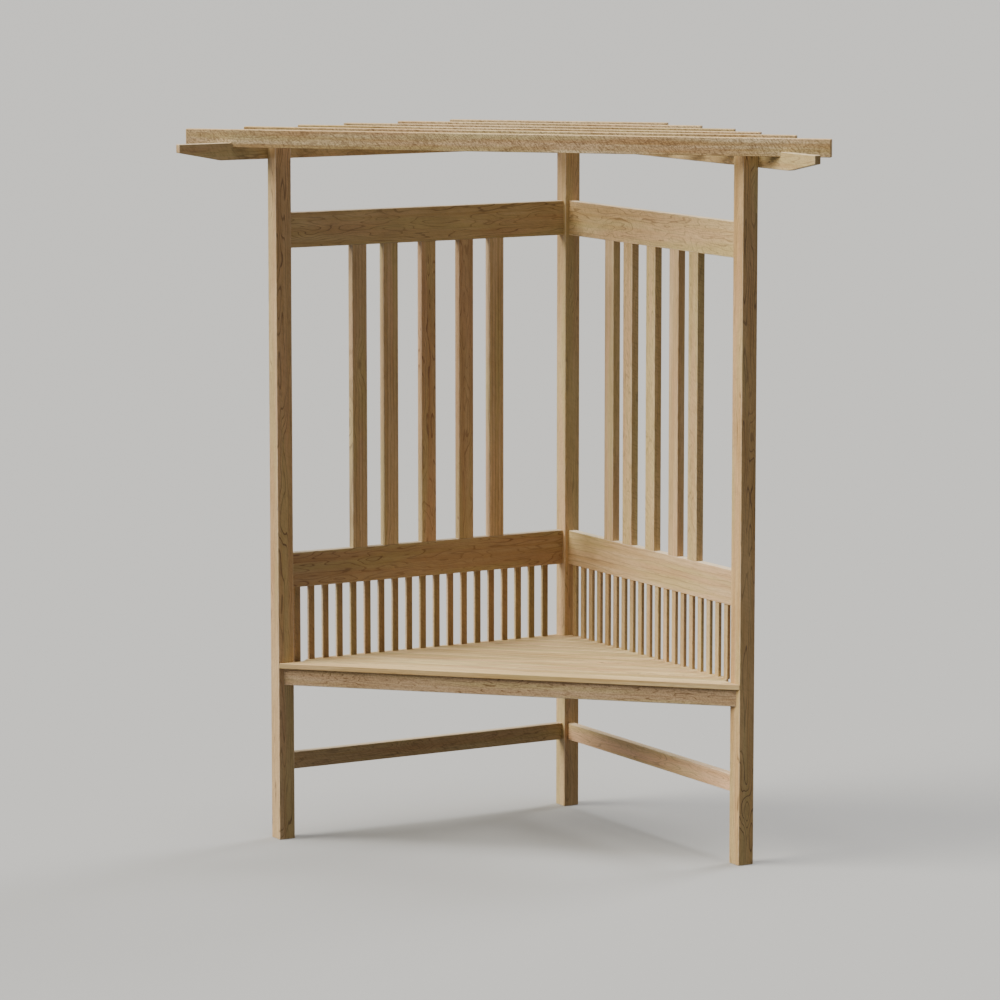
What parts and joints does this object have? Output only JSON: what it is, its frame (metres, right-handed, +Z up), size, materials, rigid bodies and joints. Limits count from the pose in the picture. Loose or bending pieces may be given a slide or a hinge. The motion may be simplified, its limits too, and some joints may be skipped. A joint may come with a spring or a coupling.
{
  "type": "corner arbour seat",
  "caption": "Free-standing timber corner arbour seat: square posts, railed and slatted walls at a right angle, triangular boarded seat and an open roof of rafters.",
  "frame": {"origin": "on the ground, under the middle of the seat's bounding box", "axes": "+Z up; -Y towards the sitter's front, where the seat is open; +X to the right of someone who looks at the seat from the front"},
  "size_m": [1.6948, 0.8534, 1.871],
  "materials": {
    "frame_timber": "planed bare softwood with an eased arris, matt",
    "seat_timber": "planed bare softwood, fine straight grain, matt",
    "roof_timber": "planed bare softwood, short figured grain, matt",
    "zinc_plated_steel": "bright zinc plate"
  },
  "bodies": {
    "root": {"apron": "seat_timber", "back_post": "frame_timber", "beam_screws": "zinc_plated_steel", "left_beam": "roof_timber", "left_mid_rail": "frame_timber", "left_post": "frame_timber", "left_seat_bearer": "frame_timber", "left_slat_1": "frame_timber", "left_slat_2": "frame_timber", "left_slat_3": "frame_timber", "left_slat_4": "frame_timber", "left_slat_5": "frame_timber", "left_spindles": "frame_timber", "left_stretcher": "frame_timber", "left_top_rail": "frame_timber", "middle_bearer": "frame_timber", "rafter_1": "roof_timber", "rafter_2": "roof_timber", "rafter_3": "roof_timber", "rafter_4": "roof_timber", "rafter_5": "roof_timber", "rafter_6": "roof_timber", "rafter_screws": "zinc_plated_steel", "right_beam": "roof_timber", "right_mid_rail": "frame_timber", "right_post": "frame_timber", "right_seat_bearer": "frame_timber", "right_slat_1": "frame_timber", "right_slat_2": "frame_timber", "right_slat_3": "frame_timber", "right_slat_4": "frame_timber", "right_slat_5": "frame_timber", "right_spindles": "frame_timber", "right_stretcher": "frame_timber", "right_top_rail": "frame_timber", "seat_board_01": "seat_timber", "seat_board_02": "seat_timber", "seat_board_03": "seat_timber", "seat_board_04": "seat_timber", "seat_board_05": "seat_timber", "seat_board_06": "seat_timber", "seat_board_07": "seat_timber", "seat_board_08": "seat_timber", "seat_board_09": "seat_timber", "seat_board_10": "seat_timber", "seat_board_11": "seat_timber", "seat_board_12": "seat_timber", "seat_board_13": "seat_timber", "seat_screws": "zinc_plated_steel"}
  },
  "joints": []
}
